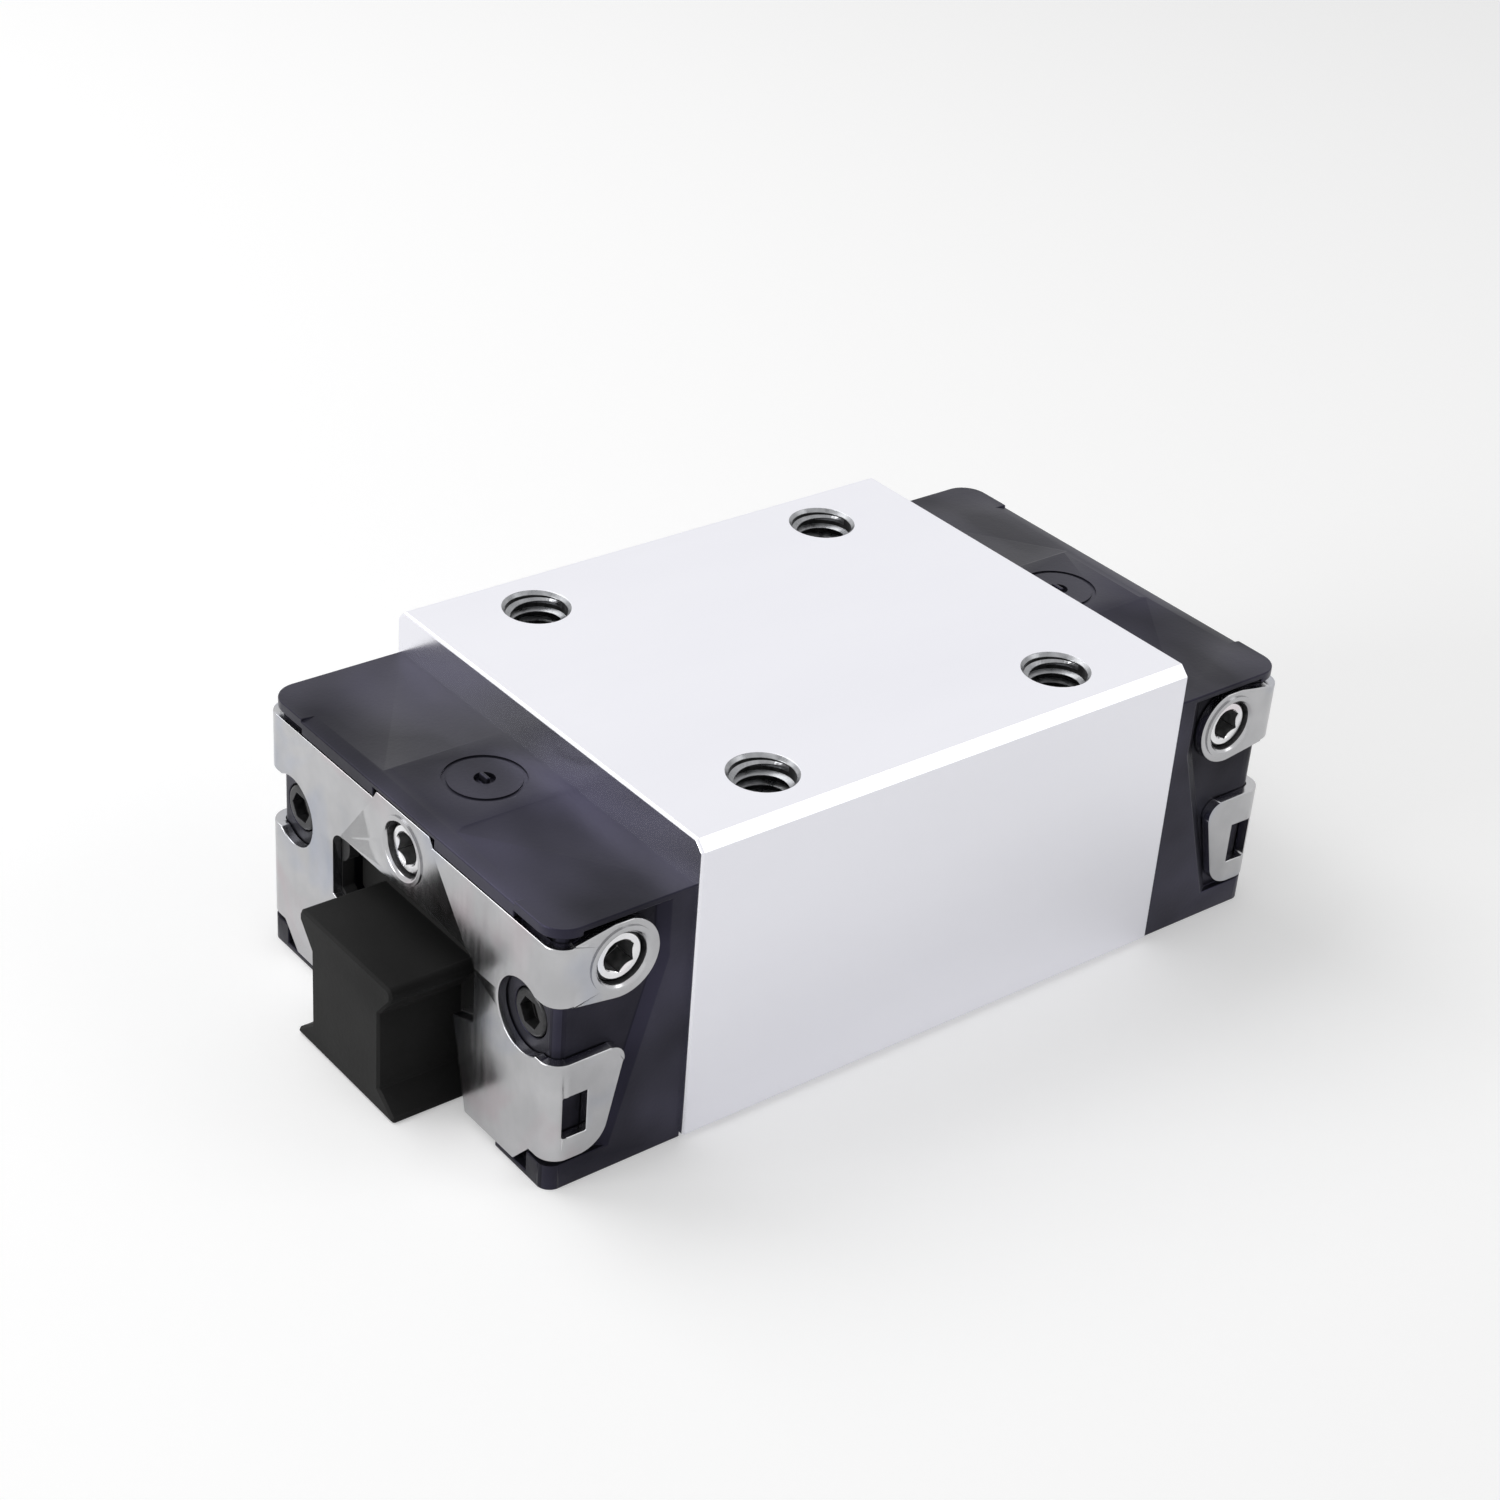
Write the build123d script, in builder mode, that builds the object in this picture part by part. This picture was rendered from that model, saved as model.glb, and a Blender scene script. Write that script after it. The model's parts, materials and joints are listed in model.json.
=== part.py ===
from build123d import *
from math import asin, cos, floor, hypot, pi, radians, sin
import os

os.makedirs("parts", exist_ok=True)

# Ball runner block for a profiled guide rail, on its plastic transport arbor.
# Millimetres. X runs along the travel, +Y is the left side, Z is up.
# The origin is under the middle of the block, in the plane that it stands on.

# Steel body
body_length = 57.8
body_width = 48.0
body_height = 31.0
foot_height = 0.5  # the end caps and the arbor reach this far below the steel
long_edge_chamfer = 1.0
end_edge_chamfer = 0.2

# Tapped mounting holes in the top face
mount_spacing_x = 35.0
mount_spacing_y = 35.0
mount_thread_d = 6.0
mount_mouth_d = 6.7
mount_mouth_angle = 90
mount_depth = 9.0
drill_point_height = 1.6
lean_angle = 45  # of bevels cut with a taper

# Guide rail section that the block runs on
rail_width = 23.0
rail_top = 18.0
rail_waist_width = 16.6
rail_waist_height = 10.1
rail_base_width = 21.2
rail_tooth_bottom = 11.5

# Ball circuits
ball_d = 4.0
ball_gap = 0.03
row_outset = 0.9  # from the rail's side to the middle of the loaded balls
upper_row_height = 16.4
row_pitch = 6.6
contact_angle = 45  # of the loaded balls on their inserts, from the level
return_outset = 6.2  # from the middle of the loaded balls to that of the returning ones
return_drop = 5.4
channel_clearance = 0.15
groove_clearance = 0.05

# Hardened raceway inserts
insert_width = 4.4
insert_near = 0.9
insert_far = 3.8

# Plastic strips and tubes inside the body
retainer_outset = 0.2
retainer_width = 2.9
retainer_height = 4.2
tube_wall = 0.4
side_seal_width = 4.4
side_seal_thickness = 1.1
side_seal_lip = 0.2

# Moulded end caps
cap_depth = 13.45
cap_inset = 0.6  # from the side of the steel body to the side of the cap
cap_height = 27.1
roof_thickness = 1.0
roof_corner_r = 2.6
foot_corner_r = 1.4
hood_width = 34.6
hood_bevel_width = 1.4
hood_bevel_drop = 0.3
pad_width = 12.0
pad_height = 0.15
pad_bevel_width = 2.4
pad_edge_width = 0.3
top_port_x = 34.8
top_port_r = 3.9
top_port_groove = 0.45
top_port_pit_r = 1.0
top_port_pit_depth = 0.5
top_port_rib_length = 1.3
top_port_rib_thickness = 0.4
top_port_rib_rise = 0.3
recess_depth = 0.65
recess_toe_gap = 0.2  # between the lower ear's toe and the edge of the recess behind it
recess_knee_height = 20.6
recess_bevel = 1.3
foot_lip_start = 15.5
foot_lip_height = 0.5
foot_block_height = 2.6
rail_clearance = 0.5

# Guides that the balls turn round inside the end caps
guide_lip = 0.2
guide_web = 0.15

# Lubrication ports
port_height = 22.5
port_thread_d = 5.0
port_screw_length = 5.0
port_screw_sink = 0.5
port_socket_af = 2.9
port_socket_depth = 2.3
port_socket_mouth = 0.2
port_side_x = 36.5
duct_r = 1.2
drop_duct_r = 0.8

# End seals
seal_thickness = 1.2
seal_width = 28.4
seal_corner_r = 3.0
seal_gap = 0.15

# Folded sheet-metal end plates
sheet = 1.0
bend_r = 2.0
wing_inset = 0.25  # from the side of the steel body to the outside of the sheet
plate_bottom = 0.6
plate_top = 25.4
tab_width = 8.6
tab_slope = 0.6
tab_top = 26.3
opening_gap = 0.25  # between the rail and the plate
opening_corner_r = 1.5
screw_window_r = 3.6
window_bottom = 13.45
window_top = 19.4
notch_start = 18.4
notch_rise = 2.3
ear_r = 3.9
lower_ear_reach = 35.35
lower_ear_toe_x = 37.8
lower_ear_bottom = 3.15
lower_ear_corner_r = 1.5
lower_ear_toe_r = 3.0
slot_start_x = 39.5
slot_end_x = 42.05
slot_bottom = 5.6
slot_top = 10.0
collar_r = 3.3
collar_rise = 0.15
collar_depth = 2.4
collar_mouth = 0.3

# Cap screws that hold plate, seal and cap on the body
screw_d = 2.5
screw_head_d = 4.5
screw_head_height = 2.4
screw_head_edge_r = 0.35
screw_head_sink = 0.9
screw_grip = 5.5
screw_socket_af = 2.6
screw_socket_depth = 1.2
screw_outset = 6.6  # from the middle of the loaded balls to the screw's middle
screw_height = 16.35

# Transport arbor
arbor_length = 98.6
arbor_core_length = 81.0
arbor_side_gap = 0.1
nose_top = 14.2
nose_head_width = 15.4
nose_head_bottom = 13.0
nose_waist_width = 11.4
nose_waist_top = 10.6
nose_waist_bottom = 2.4
nose_foot_width = 16.4
nose_foot_height = 0.5
nose_corner_r = 0.7
nose_end_chamfer = 0.25

# Fits
fit = 0.05
tap_relief = 0.5  # extra depth of a tapped hole below its screw

# How far a cutting tool runs past the surface that it opens
past = 1.0

# Values that follow from the sizes above
body_half = body_width / 2
end_x = body_length / 2
body_top = foot_height + body_height
plate_x = end_x + cap_depth + sheet + fit
plate_back_x = plate_x - sheet
cap_x = end_x + cap_depth
cap_half = body_half - cap_inset
wing_half = body_half - wing_inset
wing_back = wing_half - sheet
recess_floor = min(cap_half - recess_depth, wing_back - fit)
roof_bottom = cap_height - roof_thickness
pad_top = cap_height + pad_height
roof_x = plate_x - 2 * fit
core_corner_r = foot_corner_r - (roof_x - cap_x)
ball_r = ball_d / 2
row_y = rail_width / 2 + row_outset
lower_row_height = upper_row_height - row_pitch
return_y = row_y + return_outset
channel_r = ball_r + channel_clearance
tube_r = channel_r + tube_wall
turn_r = hypot(return_y - row_y, return_drop) / 2
turn_out_y = (return_y - row_y) / (2 * turn_r)
turn_out_z = -return_drop / (2 * turn_r)
turn_side_y = -turn_out_z
turn_side_z = turn_out_y
port_r = port_thread_d / 2
screw_y = row_y + screw_outset
screw_r = screw_d / 2
screw_head_r = screw_head_d / 2
seal_x = cap_x - seal_thickness
seal_top = port_height - collar_r - 2 * fit
bend_x = plate_x - bend_r
wing_reach = port_side_x - ear_r
wing_start = wing_reach - past
recess_bottom_x = lower_ear_toe_x + recess_toe_gap
recess_knee_x = wing_reach - 2 * fit
inside_corner_r = bend_r - sheet + 2 * fit
recess_top = port_height + ear_r + 2 * fit
notch_slope = notch_rise / (lower_ear_bottom - plate_bottom)
foot_block_start = notch_start + notch_slope * (foot_block_height - plate_bottom + 2 * fit)


def write(piece, name):
    piece.part.label = name
    export_step(piece.part, f"parts/{name}.step")


def mirrored(source, *planes):
    """A copy of a finished piece, mirrored about each plane in turn."""
    image = source.part
    for plane in planes:
        image = mirror(image, about=plane, mode=Mode.PRIVATE)
    with BuildPart() as piece:
        add(image)
    return piece


def both_sides(outline):
    """Close a half outline, given up the left side, with its mirror image."""
    Polygon(*outline, *[(-y, z) for y, z in reversed(outline)], align=None)


def rail_outline(growth):
    """Section of the rail above the block's foot, without its grooves, grown on every side."""
    half = rail_width / 2 + growth
    waist = rail_waist_width / 2 + growth
    base = rail_base_width / 2 + growth
    tooth = rail_tooth_bottom - growth
    both_sides(
        [(base, 0), (waist, rail_waist_height), (half, tooth), (half, rail_top + growth)]
    )


def row_grooves(radius, mode=Mode.SUBTRACT):
    with Locations(
        *[
            (side * row_y, height)
            for side in (1, -1)
            for height in (upper_row_height, lower_row_height)
        ]
    ):
        Circle(radius, mode=mode)


def insert_outline(height, lean, growth=0.0):
    """Tilted bar that backs one loaded row on the left; lean is 1 above the ball, -1 below."""
    middle = (insert_near + insert_far) / 2
    tilt = radians(contact_angle)
    with Locations((row_y + middle * cos(tilt), height + lean * middle * sin(tilt))):
        Rectangle(
            insert_far - insert_near + 2 * growth,
            insert_width + 2 * growth,
            rotation=contact_angle * lean,
        )


def retainer_outline(growth=0.0):
    with Locations(
        (
            rail_width / 2 + retainer_outset + retainer_width / 2,
            (upper_row_height + lower_row_height) / 2,
        )
    ):
        Rectangle(retainer_width + 2 * growth, retainer_height + 2 * growth)


def side_seal_outline(growth=0.0):
    inner = rail_base_width / 2 + side_seal_lip
    with Locations((inner + side_seal_width / 2, foot_height + side_seal_thickness / 2)):
        Rectangle(side_seal_width + 2 * growth, side_seal_thickness + 2 * growth)


def turn_plane(row_height):
    """Slanted plane of one ball turn on the left at the rear, centred on the turn."""
    middle = ((row_y + return_y) / 2, row_height - return_drop / 2)
    return Plane(
        origin=(end_x, *middle), x_dir=(1, 0, 0), z_dir=(0, turn_side_y, turn_side_z)
    )


def turn_core(row_height, below, above, growth=0.0, mode=Mode.ADD):
    """Half-round core of one ball turn, flat against the body."""
    with BuildSketch(turn_plane(row_height).offset(-below - growth)) as half_round:
        Circle(turn_r + growth)
        with Locations((-turn_r, 0)):
            Rectangle(2 * turn_r, 2 * (turn_r + growth), mode=Mode.SUBTRACT)
    extrude(half_round.sketch, amount=below + above + 2 * growth, mode=mode)


def turn_channel(row_height):
    """Half-round passage of one ball turn, cut from the piece at hand."""
    plane = turn_plane(row_height)
    with BuildSketch(Plane.YZ.offset(end_x)) as ball_passage:
        with Locations((row_y, row_height)):
            Circle(channel_r)
    revolve(
        ball_passage.sketch,
        axis=Axis(plane.origin, plane.z_dir),
        revolution_arc=180,
        mode=Mode.SUBTRACT,
    )


def turn_cores(growth=0.0, mode=Mode.ADD):
    meet = row_pitch * turn_side_z / 2 + guide_web
    outer = channel_r + guide_lip
    turn_core(upper_row_height, meet, outer, growth, mode)
    turn_core(lower_row_height, outer, meet, growth, mode)


# Steel body: a milled block with the rail channel, pockets and return bores
with BuildPart() as block_body:
    with BuildSketch(Plane.YZ.offset(-end_x)) as body_section:
        with Locations((0, foot_height + body_height / 2)):
            Rectangle(body_width, body_height)
        chamfer(body_section.vertices().group_by(Axis.Y)[-1], length=long_edge_chamfer)
    extrude(amount=body_length)
    end_faces = block_body.faces().filter_by(Axis.X)
    chamfer(
        end_faces.edges().filter_by_position(
            Axis.Z, foot_height + end_edge_chamfer, body_top
        ),
        length=end_edge_chamfer,
    )
    with BuildSketch(Plane.YZ.offset(-end_x - past)) as channel_section:
        rail_outline(rail_clearance)
        row_grooves(ball_r + groove_clearance, mode=Mode.ADD)
        insert_outline(upper_row_height, 1, fit)
        insert_outline(lower_row_height, -1, fit)
        retainer_outline(fit)
        side_seal_outline(fit)
        with Locations(
            (return_y, upper_row_height - return_drop),
            (return_y, lower_row_height - return_drop),
        ):
            Circle(tube_r + fit)
        mirror(about=Plane.YZ)
    extrude(amount=body_length + 2 * past, mode=Mode.SUBTRACT)
    with Locations(Plane.XY.offset(body_top)):
        with GridLocations(mount_spacing_x, mount_spacing_y, 2, 2):
            CounterSinkHole(
                mount_thread_d / 2, mount_mouth_d / 2, mount_depth, mount_mouth_angle
            )
    with Locations(Plane.XY.offset(body_top - mount_depth)):
        with GridLocations(mount_spacing_x, mount_spacing_y, 2, 2):
            Cone(
                0,
                mount_thread_d / 2,
                drill_point_height,
                align=(Align.CENTER, Align.CENTER, Align.MAX),
                mode=Mode.SUBTRACT,
            )
    with BuildSketch(Plane.YZ.offset(end_x)):
        with Locations((screw_y, screw_height), (-screw_y, screw_height)):
            Circle(screw_r + fit)
    extrude(amount=-screw_grip - tap_relief, mode=Mode.SUBTRACT)
    with BuildSketch(Plane.YZ.offset(-end_x)):
        with Locations((screw_y, screw_height), (-screw_y, screw_height)):
            Circle(screw_r + fit)
    extrude(amount=screw_grip + tap_relief, mode=Mode.SUBTRACT)
write(block_body, "block_body")


# Raceway inserts, ball retainers, return tubes and side seals run the body's length
strip_length = body_length - 2 * fit


def strip(draw):
    """A straight strip of the section that draw makes, as long as the body."""
    with BuildPart() as piece:
        with BuildSketch(Plane.YZ.offset(-strip_length / 2)):
            draw()
        extrude(amount=strip_length)
    return piece


def row_round(height, radius):
    with Locations((row_y, height)):
        Circle(radius, mode=Mode.SUBTRACT)


def upper_insert_section():
    insert_outline(upper_row_height, 1)
    row_round(upper_row_height, ball_r + groove_clearance)


def lower_insert_section():
    insert_outline(lower_row_height, -1)
    row_round(lower_row_height, ball_r + groove_clearance)


def retainer_section():
    retainer_outline()
    row_round(upper_row_height, ball_r + 2 * groove_clearance)
    row_round(lower_row_height, ball_r + 2 * groove_clearance)


def tube_section(height):
    with Locations((return_y, height)):
        Circle(tube_r)
        Circle(channel_r, mode=Mode.SUBTRACT)


strips = {
    "raceway_insert_{}_upper": strip(upper_insert_section),
    "raceway_insert_{}_lower": strip(lower_insert_section),
    "ball_retainer_{}": strip(retainer_section),
    "return_tube_{}_upper": strip(lambda: tube_section(upper_row_height - return_drop)),
    "return_tube_{}_lower": strip(lambda: tube_section(lower_row_height - return_drop)),
    "side_seal_{}": strip(side_seal_outline),
}
for name, piece in strips.items():
    write(piece, name.format("left"))
    write(mirrored(piece, Plane.XZ), name.format("right"))


# Ball circuits: each is an endless row through the raceway, both turns and the tube
turn_length = pi * turn_r
circuit_length = 2 * (body_length + turn_length)
least_pitch = 2 * turn_r * asin((ball_d + ball_gap) / (2 * turn_r))
ball_count = floor(circuit_length / least_pitch)
ball_pitch = circuit_length / ball_count


def ball_place(travel, row_height):
    """Middle of a ball that has gone this far round its circuit on the left side."""
    leg, along = divmod(travel, body_length + turn_length)
    direction = 1 if leg == 0 else -1
    if along <= body_length:
        x = direction * (along - end_x)
        out = 0
    else:
        angle = (along - body_length) / turn_r
        x = direction * (end_x + turn_r * sin(angle))
        out = turn_r * (1 - cos(angle))
    if direction < 0:
        out = 2 * turn_r - out
    return (x, row_y + out * turn_out_y, row_height + out * turn_out_z)


for row_name, row_height in (("upper", upper_row_height), ("lower", lower_row_height)):
    with BuildPart() as balls:
        with Locations(
            *[ball_place((i + 0.5) * ball_pitch, row_height) for i in range(ball_count)]
        ):
            Sphere(ball_r)
    write(balls, f"balls_left_{row_name}")
    write(mirrored(balls, Plane.XZ), f"balls_right_{row_name}")


# Turning guides: both half-round cores of one side are one moulding, clear of the cap screw
with BuildPart() as turning_guide:
    turn_cores()
    turn_channel(upper_row_height)
    turn_channel(lower_row_height)
    with BuildSketch(Plane.YZ.offset(end_x - past)):
        rail_outline(rail_clearance)
        with Locations((screw_y, screw_height)):
            Circle(screw_r + 2 * fit)
    extrude(amount=cap_depth, mode=Mode.SUBTRACT)
write(turning_guide, "turning_guide_rear_left")
write(mirrored(turning_guide, Plane.XZ), "turning_guide_rear_right")
write(mirrored(turning_guide, Plane.YZ), "turning_guide_front_left")
write(mirrored(turning_guide, Plane.YZ, Plane.XZ), "turning_guide_front_right")


# End cap at the rear
def cap_plan():
    """Plan of the cap out to the plate's face."""
    with Locations(((end_x + roof_x) / 2, 0)):
        Rectangle(roof_x - end_x, 2 * cap_half)


def recess_outline(widening):
    """Side recess for the plate's wing, open to the front; its back edge moves by widening."""
    ear_back = wing_reach - fit - widening
    Polygon(
        (plate_x + past, foot_block_height),
        (recess_bottom_x - widening, foot_block_height),
        (recess_knee_x - widening, recess_knee_height),
        (ear_back, port_height),
        (ear_back, recess_top),
        (port_side_x + ear_r, recess_top),
        (port_side_x + ear_r, roof_bottom),
        (plate_x + past, roof_bottom),
        align=None,
    )


with BuildPart() as end_cap:
    with BuildSketch(Plane.XY) as core_plan:
        with Locations(((end_x + cap_x) / 2, 0)):
            Rectangle(cap_x - end_x, 2 * cap_half)
        fillet(core_plan.vertices().group_by(Axis.X)[-1], radius=core_corner_r)
    extrude(amount=roof_bottom)
    # Roof with its overhang, and the feet under the plate's notches
    with BuildSketch(Plane.XY.offset(roof_bottom)) as roof_plan:
        cap_plan()
        fillet(roof_plan.vertices().group_by(Axis.X)[-1], radius=roof_corner_r)
    extrude(amount=roof_thickness)
    with BuildSketch(Plane.XY) as foot_plan:
        cap_plan()
        fillet(foot_plan.vertices().group_by(Axis.X)[-1], radius=foot_corner_r)
        Rectangle(2 * plate_x, 2 * foot_lip_start, mode=Mode.SUBTRACT)
    extrude(amount=foot_lip_height)
    with BuildSketch(Plane.XY) as foot_block_plan:
        cap_plan()
        fillet(foot_block_plan.vertices().group_by(Axis.X)[-1], radius=foot_corner_r)
        Rectangle(2 * plate_x, 2 * foot_block_start, mode=Mode.SUBTRACT)
    extrude(amount=foot_block_height)
    # Hood over the plate's top edge, bevelled along its front
    with BuildSketch(Plane.XY.offset(plate_top + fit)):
        with Locations(((end_x + roof_x) / 2, 0)):
            Rectangle(roof_x - end_x, hood_width)
    extrude(amount=roof_bottom - plate_top)
    with BuildSketch(Plane.XZ.offset(-hood_width / 2)):
        Polygon(
            (roof_x - hood_bevel_width, cap_height),
            (roof_x, cap_height - hood_bevel_drop),
            (roof_x + past, cap_height - hood_bevel_drop),
            (roof_x + past, cap_height + past),
            (roof_x - hood_bevel_width, cap_height + past),
            align=None,
        )
    extrude(amount=hood_width, mode=Mode.SUBTRACT)
    # Raised pad with sloped sides that runs down to the hood's edge
    with BuildSketch(Plane.XZ.offset(-pad_width / 2)):
        Polygon(
            (end_x, roof_bottom),
            (roof_x, roof_bottom),
            (roof_x, cap_height - hood_bevel_drop),
            (roof_x - pad_bevel_width, pad_top),
            (end_x, pad_top),
            align=None,
        )
    extrude(amount=pad_width)
    with BuildSketch(Plane.YZ.offset(end_x)):
        for side in (1, -1):
            Polygon(
                (side * pad_width / 2, cap_height),
                (side * (pad_width / 2 - pad_edge_width), pad_top),
                (side * pad_width / 2, pad_top),
                align=None,
            )
    extrude(amount=roof_x - end_x, mode=Mode.SUBTRACT)
    # Closed top port in the pad: a groove round it and a small rib in its pit
    with BuildSketch(Plane.XY.offset(pad_top)):
        with Locations((top_port_x, 0)):
            Circle(top_port_r)
            Circle(top_port_r - top_port_groove, mode=Mode.SUBTRACT)
    extrude(amount=-pad_height, mode=Mode.SUBTRACT)
    with BuildSketch(Plane.XY.offset(pad_top)):
        with Locations((top_port_x, 0)):
            Circle(top_port_pit_r)
    extrude(amount=-top_port_pit_depth, mode=Mode.SUBTRACT)
    with BuildSketch(Plane.XY.offset(pad_top - top_port_pit_depth)):
        with Locations((top_port_x, 0)):
            Rectangle(top_port_rib_thickness, top_port_rib_length)
    extrude(amount=top_port_pit_depth + top_port_rib_rise)
    # The tab's pocket under the hood
    with BuildSketch(Plane.XY.offset(plate_top)):
        with Locations((plate_back_x - fit + sheet, 0)):
            Rectangle(2 * sheet, tab_width + 2 * tab_slope + 4 * fit)
    extrude(amount=tab_top + fit - plate_top, mode=Mode.SUBTRACT)
    # Side recesses that the plate's wings lie in, with a corner inside the bend
    for side in (1, -1):
        with BuildSketch(Plane.XZ.offset(-side * recess_floor)):
            recess_outline(0)
        with BuildSketch(Plane.XZ.offset(-side * (cap_half + fit))):
            recess_outline(recess_bevel)
        loft(ruled=True, mode=Mode.SUBTRACT)
    with BuildSketch(Plane.XY.offset(foot_block_height)):
        for side in (1, -1):
            with Locations((cap_x, side * recess_floor)):
                Rectangle(2 * inside_corner_r, 2 * inside_corner_r)
            with Locations((cap_x - inside_corner_r, side * (recess_floor - inside_corner_r))):
                Circle(inside_corner_r, mode=Mode.SUBTRACT)
    extrude(amount=roof_bottom - foot_block_height, mode=Mode.SUBTRACT)
    # Rail opening, seal recess and the ball turns
    with BuildSketch(Plane.YZ.offset(end_x - past)):
        rail_outline(rail_clearance)
    extrude(amount=roof_x - end_x + 2 * past, mode=Mode.SUBTRACT)
    with BuildSketch(Plane.YZ.offset(seal_x - fit)) as seal_recess:
        with Locations((0, seal_top / 2)):
            Rectangle(seal_width + 2 * fit, seal_top + 2 * fit)
        fillet(seal_recess.vertices().group_by(Axis.Y)[-1], radius=seal_corner_r)
    extrude(amount=seal_thickness + 2 * past, mode=Mode.SUBTRACT)
    turn_cores(fit, Mode.SUBTRACT)
    turn_channel(upper_row_height)
    turn_channel(lower_row_height)
    mirror(about=Plane.XZ, mode=Mode.INTERSECT)
    # Screw holes
    with BuildSketch(Plane.YZ.offset(end_x - past)):
        with Locations((screw_y, screw_height), (-screw_y, screw_height)):
            Circle(screw_r + 2 * fit)
    extrude(amount=cap_depth + 2 * past, mode=Mode.SUBTRACT)
    with BuildSketch(Plane.YZ.offset(plate_x - screw_head_sink - screw_head_height - fit)):
        with Locations((screw_y, screw_height), (-screw_y, screw_height)):
            Circle(screw_head_r + 2 * fit)
    extrude(amount=screw_head_height + 2 * past, mode=Mode.SUBTRACT)
    # Lubrication ports and the ducts that join them
    with Locations(Location(Plane.YZ.offset(cap_x))):
        with Locations((0, port_height)):
            CounterBoreHole(
                port_r + fit, collar_r + 2 * fit, collar_depth, port_screw_length + past
            )
    for side in (1, -1):
        port_plane = Plane(
            origin=(port_side_x, side * recess_floor, port_height), z_dir=(0, side, 0)
        )
        with Locations(Location(port_plane)):
            CounterBoreHole(
                port_r + fit, collar_r + 2 * fit, collar_depth, port_screw_length + past
            )
    with BuildSketch(Plane.XZ):
        with Locations((port_side_x, port_height)):
            Circle(duct_r)
    extrude(amount=recess_floor - port_screw_length, both=True, mode=Mode.SUBTRACT)
    with BuildSketch(Plane.XY.offset(port_height)):
        with Locations(
            (port_side_x - duct_r - drop_duct_r / 2, (row_y + return_y) / 2),
            (port_side_x - duct_r - drop_duct_r / 2, -(row_y + return_y) / 2),
        ):
            Circle(drop_duct_r)
    extrude(amount=lower_row_height - return_drop / 2 - port_height, mode=Mode.SUBTRACT)
write(end_cap, "end_cap_rear")
write(mirrored(end_cap, Plane.YZ), "end_cap_front")


# End seal: a flat wiper with lips that follow the rail and its grooves
with BuildPart() as end_seal:
    with BuildSketch(Plane.YZ.offset(seal_x)) as seal_outline:
        with Locations((0, (seal_top + plate_bottom) / 2)):
            Rectangle(seal_width, seal_top - plate_bottom)
        fillet(seal_outline.vertices().group_by(Axis.Y)[-1], radius=seal_corner_r)
    extrude(amount=plate_back_x - seal_x)
    with BuildSketch(Plane.YZ.offset(seal_x - past)):
        rail_outline(seal_gap)
        row_grooves(ball_r + channel_clearance - seal_gap)
    extrude(amount=seal_thickness + 2 * past, mode=Mode.SUBTRACT)
write(end_seal, "end_seal_rear")
write(mirrored(end_seal, Plane.YZ), "end_seal_front")


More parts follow.
